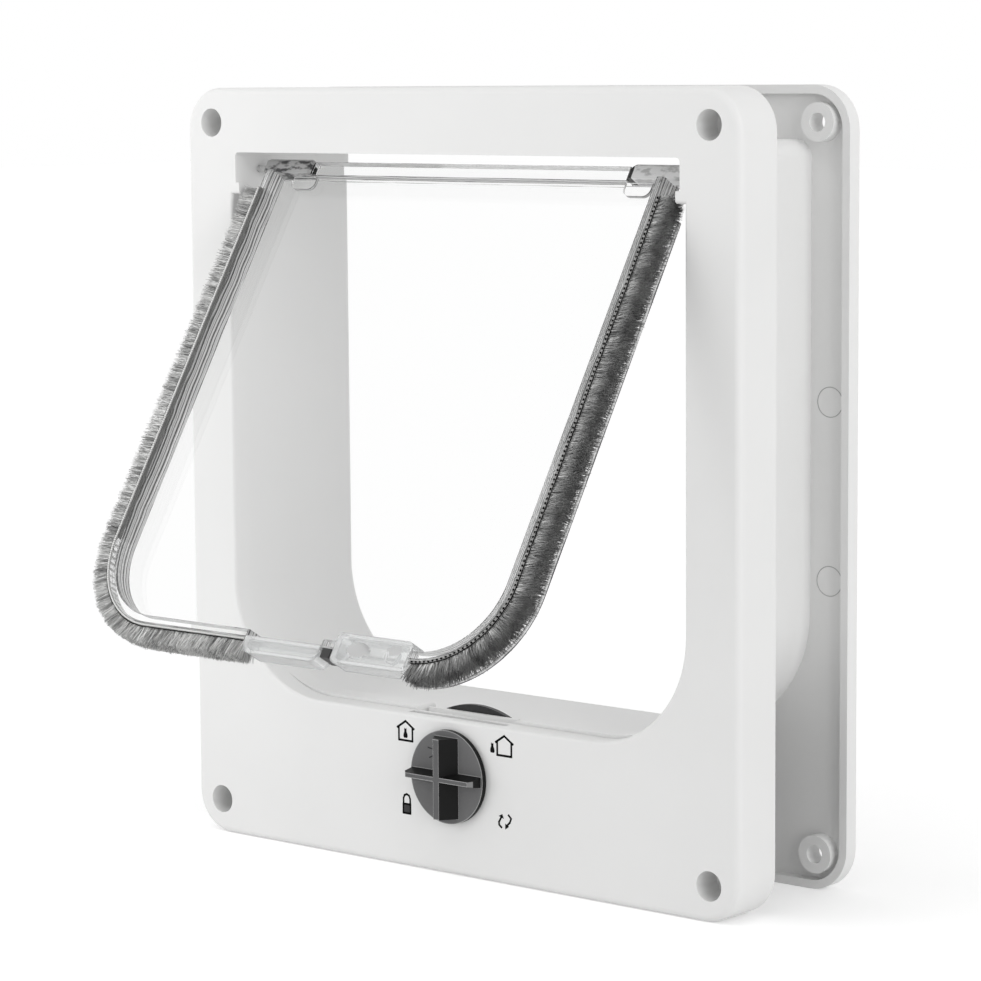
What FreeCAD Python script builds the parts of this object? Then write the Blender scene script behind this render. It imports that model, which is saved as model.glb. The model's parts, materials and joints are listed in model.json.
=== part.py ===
import FreeCAD, Part
import math
import os
import Sketcher

# A cat flap for a door, in millimetres. +X is to the right seen from indoors,
# +Y goes through the door to the outside and +Z is up. The origin is the centre
# of the four screw holes on the panel's back face, which seats on the door.

doc = FreeCAD.newDocument("CatFlap")
sheet = doc.addObject("Spreadsheet::Sheet", "Sizes")

SIZES = {
    # indoor panel
    "panel_width": 200.0,
    "panel_height": 220.0,
    "panel_depth": 16.0,
    "panel_corner": 12.0,
    "panel_edge": 2.0,
    "face_wall": 2.6,
    "skirt_wall": 2.2,
    "rib_wall": 1.6,
    "rib_pitch": 34.0,
    "rib_depth": 9.0,
    # screws from the indoor panel to the outdoor frame
    "screw_inset": 10.0,
    "screw_bore": 5.0,
    "head_bore": 8.2,
    "head_depth": 9.0,
    "boss_width": 11.0,
    # opening and the lip round it
    "frame_side": 18.0,
    "frame_top": 18.5,
    "frame_low": 44.2,
    "opening_round": 31.5,
    "opening_top_round": 1.2,
    "opening_edge": 1.0,
    "lip_depth": 6.5,
    "lip_slot_depth": 2.4,
    # tunnel through the door and the outdoor frame
    "tunnel_step": 2.0,
    "tunnel_head": 2.3,
    "tunnel_foot": 1.6,
    "tunnel_top_round": 3.6,
    "tunnel_wall": 1.6,
    "mouth_round": 4.0,
    "ridge_rise": 0.9,
    "ridge_depth": 7.2,
    "ridge_end": 17.5,
    "ridge_end_round": 1.2,
    "ridge_round": 32.3,
    "collar_wall": 1.8,
    "fit_gap": 0.3,
    "total_depth": 54.5,
    "flange_wall": 2.3,
    "rim_wall": 2.4,
    "rim_height": 5.2,
    "rim_edge": 0.7,
    "rear_boss_width": 10.6,
    "rear_boss_height": 6.1,
    "rear_bore": 5.1,
    # hinge
    "hinge_depth": 10.0,
    "hinge_drop": 5.0,
    "flap_angle": 31.75,
    "block_step": 1.5,
    "block_low": 7.0,
    "block_reach": 5.4,
    "hook_reach": 1.4,
    "hook_height": 3.3,
    "hook_depth": 2.4,
    "pin_width": 2.0,
    "pin_play": 0.1,
    "pin_seat": 4.0,
    "pin_hold": 5.0,
    # clear flap, measured from the hinge axis
    "flap_side_gap": 9.8,
    "flap_low_gap": 7.3,
    "wall_round": 24.0,
    "wall_top": 3.0,
    "flap_wall": 2.5,
    "clear_edge": 0.4,
    "rim_front": 5.0,
    "pane_front": 1.0,
    "pane_wall": 2.0,
    "flange_reach": 4.8,
    "flange_top": 13.0,
    "rail_inset": 15.0,
    "rail_width": 3.2,
    "sleeve_height": 4.8,
    "sleeve_depth": 5.2,
    "sleeve_over": 3.3,
    "sleeve_corner": 2.2,
    "tongue_width": 9.0,
    "tongue_low": 6.5,
    "tongue_wall": 1.2,
    # pile strips
    "strip_top": 8.5,
    "strip_inset": 0.3,
    "tape_wall": 0.7,
    "pile_height": 4.9,
    "strip_gap": 0.3,
    # catch, magnet box and bar on the flap's lower edge
    "box_inset": 0.8,
    "box_length": 26.0,
    "box_rise": 4.8,
    "box_drop": 3.7,
    "box_round": 1.6,
    "catch_gap": 4.6,
    "catch_length": 27.0,
    "catch_rise": 0.6,
    "catch_drop": 4.3,
    "catch_round": 2.8,
    "catch_wall": 1.2,
    "boss_oval": 4.2,
    "boss_rise": 1.6,
    "bar_gap": 0.8,
    "bar_width": 3.0,
    "bar_height": 2.6,
    "relief_left": 18.5,
    "relief_over": 0.6,
    # lock
    "lock_depth": 16.0,
    "knob_radius": 13.3,
    "knob_proud": 1.8,
    "grip_proud": 4.5,
    "grip_half": 11.4,
    "grip_base": 4.7,
    "grip_nose": 1.05,
    "bar_half": 12.6,
    "bar_base": 1.6,
    "bar_nose": 0.65,
    "bar_end": 1.2,
    "stem_width": 8.0,
    "shaft_width": 5.6,
    "shaft_flat": 2.1,
    "turn_play": 0.1,
    "disc_rise": 2.5,
    "cap_rise": 2.6,
    "cap_round": 30.0,
    "cap_half": 12.2,
    "lobe_rise": 6.2,
    "lobe_angle": 130.0,
    "cam_plate": 1.4,
    "front_lobe_depth": 3.2,
    "rear_disc_depth": 11.3,
    "hub_width": 12.0,
    "slot_gap": 0.4,
    "slot_draw": 2.0,
    "slot_step": 2.4,
    "guard_rise": 0.5,
    "guard_wall": 1.2,
    "guard_half": 16.5,
    "screw_width": 2.4,
    "screw_grip": 6.0,
    "screw_head": 5.6,
    "screw_head_height": 1.6,
    "washer_width": 8.0,
    "washer_wall": 0.6,
    # magnet in the sill
    "magnet_length": 21.0,
    "magnet_height": 2.4,
    "magnet_cover": 1.0,
    "magnet_depth": 2.8,
    "magnet_inset": 3.3,
}


class Size:
    """A length that knows its number and the formula that the document keeps."""

    def __init__(self, text, value):
        self.text = text
        self.value = value

    def combined(self, sign, other, value):
        return Size("(%s %s %s)" % (self.text, sign, other.text), value)

    def __add__(self, other):
        other = as_size(other)
        return self.combined("+", other, self.value + other.value)

    def __radd__(self, other):
        return as_size(other) + self

    def __sub__(self, other):
        other = as_size(other)
        return self.combined("-", other, self.value - other.value)

    def __rsub__(self, other):
        return as_size(other) - self

    def __mul__(self, other):
        other = as_size(other)
        return self.combined("*", other, self.value * other.value)

    def __rmul__(self, other):
        return as_size(other) * self

    def __truediv__(self, other):
        other = as_size(other)
        return self.combined("/", other, self.value / other.value)

    def __neg__(self):
        return as_size(0.0) - self


def as_size(number):
    """A plain number as a Size."""
    if isinstance(number, Size):
        return number
    return Size("%.6f" % number, float(number))


def fill_sheet():
    """Write each driving dimension as text beside its name, with an alias."""
    for row, (name, value) in enumerate(SIZES.items(), start=1):
        sheet.set("A%d" % row, name)
        sheet.set("B%d" % row, str(value))
        sheet.setAlias("B%d" % row, name)
    doc.recompute()


def size(name):
    """The named driving dimension."""
    return Size("Sizes.%s" % name, float(sheet.get(name)))


def bind(item, prop, length):
    """Tie a property to its formula."""
    item.setExpression(prop, as_size(length).text)


fill_sheet()

# Half widths and heights that follow from the panel's size, from the origin.
opening_half = size("panel_width") / 2 - size("frame_side")
opening_top = size("panel_height") / 2 - size("frame_top")
opening_low = size("panel_height") / 2 - size("frame_low")
tunnel_half = opening_half + size("tunnel_step")
tunnel_top = opening_top + size("tunnel_head")
tunnel_low = opening_low + size("tunnel_foot")
tunnel_round = size("opening_round") + size("tunnel_step")
block_half = opening_half - size("block_step")
hinge_z = opening_top - size("hinge_drop")
block_base = hinge_z - size("block_low")

# The flap's half width, and levels down from the hinge axis.
wall_half = opening_half - size("flap_side_gap")
wall_low = hinge_z + opening_low - size("flap_low_gap")
rail_half = wall_half - size("rail_inset")
sleeve_end = wall_half + size("sleeve_over")
box_right = wall_half - size("wall_round") - size("box_inset")
box_left = box_right - size("box_length")
catch_right = box_left - size("catch_gap")
catch_left = catch_right - size("catch_length")

# The lock's axis and its cam.
lock_z = -(opening_low + size("lock_depth"))
disc_radius = size("lock_depth") + size("disc_rise")
lobe_radius = size("lock_depth") + size("lobe_rise")

# Planes that several pieces share, measured along Y.
front = -size("panel_depth")
face_back = front + size("face_wall")
lip_back = front + size("lip_depth")
tunnel_front = lip_back + size("fit_gap")
frame_back = front + size("total_depth")
flange_front = frame_back - size("flange_wall")
collar_inner = size("tunnel_wall") + size("fit_gap")
collar_outer = collar_inner + size("collar_wall")
hinge_y = front + size("hinge_depth")
block_depth = size("hinge_depth") + size("block_reach")
slot_low_half = lobe_radius - size("slot_draw")
cut_over = as_size(5.0)
overlap = as_size(0.5)


def new_body(label):
    body = doc.addObject("PartDesign::Body", label)
    body.Label = label
    return body


def plane_of(body, role):
    """One of the body's own origin planes."""
    for feature in body.Origin.OriginFeatures:
        if feature.Role == role:
            return feature
    raise ValueError("no plane " + role)


def sketch_on(body, name, role, offset):
    """A sketch on an origin plane, moved along that plane's own normal."""
    sketch = body.newObject("Sketcher::SketchObject", name)
    sketch.AttachmentSupport = [(plane_of(body, role), "")]
    sketch.MapMode = "FlatFace"
    bind(sketch, "AttachmentOffset.Base.z", offset)
    return sketch


def upright_sketch(body, name, depth):
    """A sketch in X and Z at one depth along Y. Its normal points along -Y."""
    return sketch_on(body, name, "XZ_Plane", -as_size(depth))


def pin_point(sketch, line, end, point):
    """Hold one end of a line at a point given by two sizes."""
    for kind, coordinate in (("DistanceX", point[0]), ("DistanceY", point[1])):
        coordinate = as_size(coordinate)
        index = sketch.addConstraint(
            Sketcher.Constraint(kind, -1, 1, line, end, coordinate.value))
        sketch.setExpression("Constraints[%d]" % index, coordinate.text)


def direction(start, stop):
    """Unit step from one corner to the next, as two plain numbers."""
    run = stop[0].value - start[0].value
    rise = stop[1].value - start[1].value
    span = math.hypot(run, rise)
    return run / span, rise / span


def outline(sketch, corners):
    """A closed outline. Each corner is (x, z, radius); a rounded one is square."""
    corners = [tuple(as_size(value) for value in corner) for corner in corners]
    count = len(corners)
    entries = []
    exits = []
    for index, corner in enumerate(corners):
        before = corners[index - 1]
        after = corners[(index + 1) % count]
        step_in = direction(before, corner)
        step_out = direction(corner, after)
        radius = corner[2]
        if radius.value == 0.0:
            entries.append((corner[0], corner[1]))
            exits.append((corner[0], corner[1]))
            continue
        entries.append((corner[0] - radius * round(step_in[0]),
                        corner[1] - radius * round(step_in[1])))
        exits.append((corner[0] + radius * round(step_out[0]),
                      corner[1] + radius * round(step_out[1])))
    lines = []
    for index in range(count):
        start = exits[index]
        stop = entries[(index + 1) % count]
        line = sketch.addGeometry(Part.LineSegment(
            FreeCAD.Vector(start[0].value, start[1].value, 0),
            FreeCAD.Vector(stop[0].value, stop[1].value, 0)), False)
        lines.append(line)
        pin_point(sketch, line, 1, start)
        if corners[(index + 1) % count][2].value > 0.0:
            pin_point(sketch, line, 2, stop)
    for index, corner in enumerate(corners):
        line_in = lines[index - 1]
        line_out = lines[index]
        if corner[2].value == 0.0:
            sketch.addConstraint(Sketcher.Constraint("Coincident", line_in, 2, line_out, 1))
            continue
        corner_arc(sketch, corner, entries[index], exits[index], line_in, line_out)


def corner_arc(sketch, corner, entry, leave, line_in, line_out):
    """Round one square corner between two lines."""
    radius = corner[2].value
    entry_x, entry_y = entry[0].value, entry[1].value
    leave_x, leave_y = leave[0].value, leave[1].value
    centre_x = entry_x + leave_x - corner[0].value
    centre_y = entry_y + leave_y - corner[1].value
    angle_in = math.atan2(entry_y - centre_y, entry_x - centre_x)
    angle_out = math.atan2(leave_y - centre_y, leave_x - centre_x)
    turn = ((corner[0].value - entry_x) * (leave_y - corner[1].value)
            - (corner[1].value - entry_y) * (leave_x - corner[0].value))
    start, stop, first, last = angle_in, angle_out, 1, 2
    if turn < 0.0:
        start, stop, first, last = angle_out, angle_in, 2, 1
    circle = Part.Circle(FreeCAD.Vector(centre_x, centre_y, 0), FreeCAD.Vector(0, 0, 1), radius)
    arc = sketch.addGeometry(Part.ArcOfCircle(circle, start, stop), False)
    sketch.addConstraint(Sketcher.Constraint("Coincident", arc, first, line_in, 2))
    sketch.addConstraint(Sketcher.Constraint("Coincident", arc, last, line_out, 1))
    index = sketch.addConstraint(Sketcher.Constraint("Radius", arc, radius))
    sketch.setExpression("Constraints[%d]" % index, corner[2].text)


def box_corners(left, right, low, high, radius=0.0):
    """Corners of a rectangle with one radius at all four."""
    return [(left, high, radius), (left, low, radius), (right, low, radius), (right, high, radius)]


def circle_at(sketch, x, z, diameter):
    """A circle held by its centre and diameter."""
    x, z, diameter = as_size(x), as_size(z), as_size(diameter)
    circle = sketch.addGeometry(Part.Circle(
        FreeCAD.Vector(x.value, z.value, 0), FreeCAD.Vector(0, 0, 1), diameter.value / 2), False)
    pin_point(sketch, circle, 3, (x, z))
    index = sketch.addConstraint(Sketcher.Constraint("Diameter", circle, diameter.value))
    sketch.setExpression("Constraints[%d]" % index, diameter.text)


def pad(body, name, sketch, length, backwards=True):
    """Raise a sketch. Backwards is towards +Y for an upright sketch."""
    feature = body.newObject("PartDesign::Pad", name)
    feature.Profile = sketch
    bind(feature, "Length", length)
    feature.Reversed = backwards
    doc.recompute()
    return feature


def pocket(body, name, sketch, length, forwards=False):
    """Cut a sketch. An upright sketch cuts towards +Y unless forwards is set."""
    before = body.Shape.Volume
    feature = body.newObject("PartDesign::Pocket", name)
    feature.Profile = sketch
    bind(feature, "Length", length)
    feature.Reversed = forwards
    doc.recompute()
    if body.Shape.Volume >= before:
        raise ValueError("nothing cut by " + name)
    return feature


def prism(body, name, loops, start, stop):
    """A pad between two depths along Y."""
    sketch = upright_sketch(body, name + "_outline", start)
    for loop in loops:
        outline(sketch, loop)
    return pad(body, name, sketch, as_size(stop) - start)


def recess(body, name, loops, start, stop):
    """A pocket between two depths along Y."""
    sketch = upright_sketch(body, name + "_outline", start)
    for loop in loops:
        outline(sketch, loop)
    return pocket(body, name, sketch, as_size(stop) - start)


def studs(body, name, centres, diameter, start, stop):
    """Round bosses between two depths along Y."""
    sketch = upright_sketch(body, name + "_outline", start)
    for x, z in centres:
        circle_at(sketch, x, z, diameter)
    return pad(body, name, sketch, as_size(stop) - start)


def bores(body, name, centres, diameter, start, stop):
    """Round holes between two depths along Y."""
    sketch = upright_sketch(body, name + "_outline", start)
    for x, z in centres:
        circle_at(sketch, x, z, diameter)
    return pocket(body, name, sketch, as_size(stop) - start)


def fillet(body, name, feature, radius, wanted):
    """Round the edges of the last feature for which wanted(edge) is true."""
    names = ["Edge%d" % (index + 1) for index, edge in enumerate(feature.Shape.Edges)
             if wanted(edge)]
    rounding = body.newObject("PartDesign::Fillet", name)
    rounding.Base = (feature, names)
    bind(rounding, "Radius", radius)
    doc.recompute()
    return rounding


def chamfer(body, name, feature, reach, wanted):
    """Bevel the edges of the last feature for which wanted(edge) is true."""
    names = ["Edge%d" % (index + 1) for index, edge in enumerate(feature.Shape.Edges)
             if wanted(edge)]
    bevel = body.newObject("PartDesign::Chamfer", name)
    bevel.Base = (feature, names)
    bind(bevel, "Size", reach)
    doc.recompute()
    return bevel


def lies_at(edge, depth):
    """True for an edge that lies in one plane of constant Y."""
    box = edge.BoundBox
    return abs(box.YMin - depth.value) < 1e-4 and abs(box.YMax - depth.value) < 1e-4


def tunnel_loop(grow):
    """The tunnel's inner outline, grown outwards."""
    half = tunnel_half + grow
    top = tunnel_top + grow
    low = -(tunnel_low + grow)
    corner = size("tunnel_top_round") + grow
    low_round = tunnel_round + grow
    return [(-half, top, corner), (-half, low, low_round),
            (half, low, low_round), (half, top, corner)]


def panel_loop(inset):
    """The panel's outer outline, drawn in by a wall."""
    half = size("panel_width") / 2 - inset
    rise = size("panel_height") / 2 - inset
    return box_corners(-half, half, -rise, rise, size("panel_corner") - inset)


def screw_centres():
    x = size("panel_width") / 2 - size("screw_inset")
    z = size("panel_height") / 2 - size("screw_inset")
    return [(-x, z), (x, z), (-x, -z), (x, -z)]


def make_front_panel():
    """The indoor moulding: a hollow plate with a lip, a collar and hinge blocks."""
    body = new_body("front_panel")
    slab = prism(body, "slab", [panel_loop(0.0)], front, 0.0)
    edge = fillet(body, "front_edge", slab, size("panel_edge"), lambda e: lies_at(e, front))
    recess(body, "hollow", [panel_loop(size("skirt_wall")), tunnel_loop(collar_outer)],
           face_back, cut_over)
    recess(body, "inner_hollow", [tunnel_loop(collar_inner)], lip_back, cut_over)
    studs(body, "bosses", screw_centres(), size("boss_width"), face_back, 0.0)
    add_side_ribs(body)
    add_hinge_blocks(body)
    recess(body, "opening", [opening_with_blocks()], front - cut_over, cut_over)
    recess(body, "block_faces", [block_relief(-1), block_relief(1)],
           front + size("hook_depth"), cut_over)
    add_cam_slots(body)
    bores(body, "head_bores", screw_centres(), size("head_bore"), front - 1.0,
          front + size("head_depth"))
    bores(body, "screw_bores", screw_centres(), size("screw_bore"), front, 1.0)
    bores(body, "stem_bore", [(0.0, lock_z)], size("stem_width") + size("turn_play"),
          front - 1.0, face_back + 1.0)
    add_pin_bores(body)
    add_magnet_pocket(body)
    last = body.Tip
    fillet(body, "opening_front_edge", last, size("opening_edge"), is_opening_edge)
    return body


def stepped_loop(top_half, low_half, top, middle, low):
    """A slot's outline that is wider below its middle."""
    return [(-top_half, top, 0.0), (-top_half, middle, 0.0), (-low_half, middle, 0.0),
            (-low_half, low, 0.0), (low_half, low, 0.0), (low_half, middle, 0.0),
            (top_half, middle, 0.0), (top_half, top, 0.0)]


def add_cam_slots(body):
    """The lip is slotted for the cam's front lobe and the collar for the rest."""
    low = -(tunnel_low + collar_outer + cut_over)
    middle = -(opening_low + size("slot_step"))
    top_half = size("ridge_end") + overlap
    recess(body, "lip_slot",
           [stepped_loop(top_half, slot_low_half, -opening_low + overlap, middle, low)],
           face_back, face_back + size("lip_slot_depth"))
    recess(body, "collar_slot",
           [box_corners(-slot_low_half, slot_low_half, low, -opening_low)],
           lip_back, cut_over)


def is_opening_edge(edge):
    """True for the edges round the opening on the front face."""
    box = edge.BoundBox
    reach = opening_half.value + 0.01
    rise = opening_top.value + 0.01
    fall = -opening_low.value - 0.01
    inside = box.XMin > -reach and box.XMax < reach and box.ZMax < rise and box.ZMin > fall
    below_blocks = box.ZMax < block_base.value + 0.01
    long_enough = edge.Length > 1.0
    return lies_at(edge, front) and inside and below_blocks and long_enough


def add_side_ribs(body):
    """Stiffening ribs between the skirt and the collar, in a row up each side."""
    sketch = upright_sketch(body, "rib_outline", face_back)
    inner = tunnel_half + collar_outer - 0.5
    outer = size("panel_width") / 2 - size("skirt_wall") + 0.5
    low = -size("rib_pitch") * 1.5
    high = low + size("rib_wall")
    outline(sketch, box_corners(-outer, -inner, low, high))
    outline(sketch, box_corners(inner, outer, low, high))
    rib = pad(body, "rib", sketch, size("rib_depth"))
    pattern = body.newObject("PartDesign::LinearPattern", "ribs")
    pattern.Originals = [rib]
    pattern.Direction = (sketch, ["V_Axis"])
    pattern.Occurrences = 4
    bind(pattern, "Length", size("rib_pitch") * 3)
    body.Tip = pattern
    doc.recompute()


def add_hinge_blocks(body):
    """Blocks in the opening's top corners that carry the hinge pins."""
    inner = block_half - size("hook_reach")
    outer = tunnel_half + collar_inner + overlap
    top = tunnel_top + collar_inner + overlap
    loops = [box_corners(-outer, -inner, block_base, top), box_corners(inner, outer, block_base, top)]
    prism(body, "hinge_blocks", loops, front, front + block_depth)


def opening_with_blocks():
    """The opening as cut, stepped in at the hinge blocks and their hooks."""
    half = opening_half
    step = block_half
    hook = step - size("hook_reach")
    hook_top = block_base + size("hook_height")
    top = opening_top
    low = -opening_low
    low_round = size("opening_round")
    return [
        (-step, top, size("opening_top_round")), (-step, hook_top, 0.0), (-hook, hook_top, 0.0),
        (-hook, block_base, 0.0), (-half, block_base, 0.0), (-half, low, low_round),
        (half, low, low_round), (half, block_base, 0.0), (hook, block_base, 0.0),
        (hook, hook_top, 0.0), (step, hook_top, 0.0), (step, top, size("opening_top_round")),
    ]


def block_relief(side):
    """Behind the hook the block's face is flat."""
    hook = (block_half - size("hook_reach") - 1.0) * side
    step = block_half * side
    left, right = (step, hook) if side < 0 else (hook, step)
    return box_corners(left, right, block_base - 1.0, block_base + size("hook_height") + 1.0)


def side_sketch(body, name, x):
    """A sketch in Y and Z at one place along X. Its normal points along +X."""
    return sketch_on(body, name, "YZ_Plane", x)


def add_pin_bores(body):
    """Blind bores in the two blocks for the flap's hinge pins."""
    reach = size("pin_seat") + size("fit_gap")
    for side, name in ((-1, "left"), (1, "right")):
        start = (block_half - 1.0) * side
        sketch = side_sketch(body, "pin_bore_%s_outline" % name, start)
        circle_at(sketch, hinge_y, hinge_z, size("pin_width") + size("pin_play"))
        pocket(body, "pin_bore_%s" % name, sketch, reach + 1.0, forwards=side > 0)


def add_magnet_pocket(body):
    """A pocket in the back of the lip under the flap's magnet box."""
    gap = size("fit_gap") / 2
    left = magnet_left - gap
    right = magnet_left + size("magnet_length") + gap
    top = magnet_top + gap
    low = magnet_top - size("magnet_height") - gap
    recess(body, "magnet_pocket", [box_corners(left, right, low, top)],
           lip_back - size("magnet_depth") - gap, lip_back + 1.0)


magnet_top = -opening_low - size("magnet_cover")
magnet_left = box_left + size("magnet_inset")


def make_rear_frame():
    """The outdoor moulding: a rimmed flange, the tunnel and four bosses."""
    body = new_body("rear_frame")
    flange = prism(body, "flange", [panel_loop(0.0)], flange_front, frame_back)
    prism(body, "rim", [panel_loop(0.0), panel_loop(size("rim_wall"))],
          frame_back - size("rim_height"), frame_back)
    studs(body, "bosses", screw_centres(), size("rear_boss_width"),
          frame_back - size("rear_boss_height"), frame_back)
    prism(body, "tunnel", [tunnel_loop(size("tunnel_wall"))], tunnel_front, frame_back)
    recess(body, "passage", [tunnel_loop(0.0)], front, frame_back + cut_over)
    add_sill_ridge(body)
    add_guard(body)
    bores(body, "screw_bores", screw_centres(), size("rear_bore"),
          frame_back - size("rear_boss_height") - 1.0, frame_back + 1.0)
    add_block_notches(body)
    slot_low = -(tunnel_low + size("tunnel_wall") + cut_over)
    slot_front = front + size("rear_disc_depth") - size("slot_gap")
    slot_back = front + size("rear_disc_depth") + size("cam_plate") + size("slot_gap")
    last = recess(body, "cam_slot",
                  [stepped_loop(size("ridge_end"), slot_low_half, -opening_low + overlap,
                                -tunnel_low, slot_low)],
                  slot_front, slot_back)
    edge = chamfer(body, "rear_edge", last, size("rim_edge"), is_outer_rear_edge)
    fillet(body, "mouth", edge, size("mouth_round"), is_mouth_edge)
    return body


def is_mouth_edge(edge):
    """True for the edges round the tunnel's outdoor end."""
    box = edge.BoundBox
    reach = tunnel_half.value + overlap.value
    rise = tunnel_top.value + overlap.value
    fall = -tunnel_low.value - overlap.value
    inside = box.XMin > -reach and box.XMax < reach and box.ZMax < rise and box.ZMin > fall
    return lies_at(edge, frame_back) and inside


def add_sill_ridge(body):
    """A raised band along the sill and up both corners, open where the cam rises."""
    half_wall = size("tunnel_wall") / 2
    end = size("ridge_end")
    high = -(opening_low - size("ridge_rise"))
    low = -(tunnel_low + half_wall)
    inner = tunnel_half + size("fit_gap")
    outer = tunnel_half + half_wall
    loops = []
    for side in (-1, 1):
        loops.append([(end * side, high, size("ridge_end_round")), (end * side, low, 0.0),
                      (outer * side, low, tunnel_round + half_wall),
                      (outer * side, 0.0, 0.0), (inner * side, 0.0, 0.0),
                      (inner * side, high, size("ridge_round"))])
    prism(body, "sill_ridge", loops, tunnel_front, tunnel_front + size("ridge_depth"))


def is_outer_rear_edge(edge):
    """True for the flange's outer edge on the back and on the rim's front."""
    box = edge.BoundBox
    half = size("panel_width").value / 2
    rise = size("panel_height").value / 2
    inner = size("rim_wall").value
    outside = (box.XMin > half - inner / 2 or box.XMax < -half + inner / 2
               or box.ZMin > rise - inner / 2 or box.ZMax < -rise + inner / 2)
    corner = (box.DiagonalLength < 2 * size("panel_corner").value
              and edge.distToShape(Part.Vertex(math.copysign(half, box.Center.x),
                                               box.Center.y,
                                               math.copysign(rise, box.Center.z)))[0]
              < size("panel_corner").value * 0.45)
    return lies_at(edge, frame_back) and (outside or corner)


def add_guard(body):
    """A low wall on the tunnel's floor that hides the gap in front of the cam."""
    low = -(tunnel_low + size("tunnel_wall") / 2)
    back = front + size("rear_disc_depth") - size("slot_gap")
    prism(body, "guard", [box_corners(-size("guard_half"), size("guard_half"), low,
                                      -(opening_low - size("guard_rise")), 0.0)],
          back - size("guard_wall"), back)


def add_block_notches(body):
    """The tunnel's front corners are cut away round the hinge blocks."""
    gap = size("fit_gap")
    inner = block_half - size("hook_reach") - gap
    outer = tunnel_half + size("tunnel_wall") + 1.0
    top = tunnel_top + size("tunnel_wall") + 1.0
    low = block_base - gap
    loops = [box_corners(-outer, -inner, low, top), box_corners(inner, outer, low, top)]
    recess(body, "block_notches", loops, front, front + block_depth + gap)


def flap_loop(grow, top):
    """The flap's outline from the hinge down, grown outwards from its wall."""
    half = wall_half + grow
    low = -(wall_low + grow)
    low_round = size("wall_round") + grow
    return [(-half, top, 0.0), (-half, low, low_round), (half, low, low_round), (half, top, 0.0)]


def swing(item):
    """Hang a piece on the hinge, opened towards the room."""
    bind(item, "Placement.Base.y", hinge_y)
    bind(item, "Placement.Base.z", hinge_z)
    item.Placement = FreeCAD.Placement(
        FreeCAD.Vector(0, hinge_y.value, hinge_z.value),
        FreeCAD.Rotation(FreeCAD.Vector(-1, 0, 0), size("flap_angle").value))
    bind(item, "Placement.Rotation.Angle", size("flap_angle"))


pane_back = size("pane_front") + size("pane_wall")
rim_plane = -size("rim_front")
strip_front = rim_plane + size("strip_inset")
strip_back = size("pane_front") - size("strip_inset")


def make_flap_pane():
    """The clear tray: a pane with a wall, a flange, a top rail and two tongues."""
    body = new_body("flap_pane")
    prism(body, "pane", [flap_loop(0.0, -size("sleeve_height") / 2)], size("pane_front"),
          pane_back)
    flange = prism(body, "flange", [flap_loop(size("flange_reach"), -size("flange_top"))],
                   size("pane_front"), pane_back)
    chamfer(body, "back_edges", flange, size("clear_edge"), lambda e: lies_at(e, pane_back))
    wall_top = -size("wall_top")
    prism(body, "wall", [flap_loop(0.0, wall_top)], rim_plane, size("pane_front"))
    inner = flap_loop(-size("flap_wall"), wall_top + 1.0)
    tray = recess(body, "tray", [inner], rim_plane - 1.0, size("pane_front"))
    chamfer(body, "rim_edges", tray, size("clear_edge"), lambda e: lies_at(e, rim_plane))
    add_rail(body)
    add_tongues(body)
    gap = size("strip_gap") / 3
    low = -(wall_low + 1.0)
    high = -(wall_low - size("flap_wall") - 1.0)
    recess(body, "catch_notch",
           [box_corners(catch_left - gap, catch_right + gap, low, high),
            box_corners(box_left - gap, box_right + gap, low, high)],
           rim_plane - 1.0, size("pane_front"))
    flange_low = -(wall_low + size("flange_reach") + 1.0)
    flange_high = -(wall_low - size("flap_wall") / 2)
    recess(body, "cam_relief",
           [box_corners(-size("relief_left"), box_right + size("relief_over"), flange_low,
                        flange_high)],
           size("pane_front"), pane_back + 1.0)
    swing(body)
    return body


def add_rail(body):
    """The square rail along the top of the pane, between the two sleeves."""
    rail = size("rail_width") / 2
    half = rail_half
    low = -(size("sleeve_height") / 2 + 0.2)
    prism(body, "rail", [box_corners(-half, half, low, rail, 0.0)], -rail, pane_back)


def add_tongues(body):
    """A small rounded tongue at each end of the rail, in front of the pane."""
    low = -size("tongue_low")
    high = -size("sleeve_height") / 2 - 0.1
    start = rail_half - 1.0
    stop = start + size("tongue_width")
    corner = size("tongue_width") / 4
    tongue_back = size("pane_front")
    tongue_front = tongue_back - size("tongue_wall")
    loops = [[(-stop, high, 0.0), (-stop, low, corner), (-start, low, corner), (-start, high, 0.0)],
             [(start, high, 0.0), (start, low, corner), (stop, low, corner), (stop, high, 0.0)]]
    prism(body, "tongues", loops, tongue_front, tongue_back)


def make_sleeve(side, name):
    """The moulded sleeve on the pane's top corner, which holds a hinge pin."""
    body = new_body("sleeve_" + name)
    start = rail_half
    stop = sleeve_end
    high = size("sleeve_height") / 2
    corner = size("sleeve_corner")
    inner, outer = start * side, stop * side
    loop = [(inner, high, corner), (inner, -high, 0.0), (outer, -high, 0.0), (outer, high, 0.0)]
    deep = size("sleeve_depth") / 2
    block = prism(body, "block", [loop], -deep, deep)
    chamfer(body, "top_edges", block, size("sleeve_height") / 4, lambda e: is_sleeve_edge(e, high))
    sketch = side_sketch(body, "pin_bore_outline", outer)
    circle_at(sketch, 0.0, 0.0, size("pin_width") + size("pin_play") / 2)
    pocket(body, "pin_bore", sketch, size("pin_hold") + size("fit_gap"), forwards=side < 0)
    swing(body)


def is_sleeve_edge(edge, high):
    """True for the two long upper edges of a sleeve and the rounds beside them."""
    box = edge.BoundBox
    flat = box.YLength < 1e-4
    upper = box.ZMax > high.value - 1e-3
    level = box.ZMax - box.ZMin < 1e-4
    rounded = edge.Curve.TypeId == "Part::GeomCircle"
    return flat and upper and (level or rounded)


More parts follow.
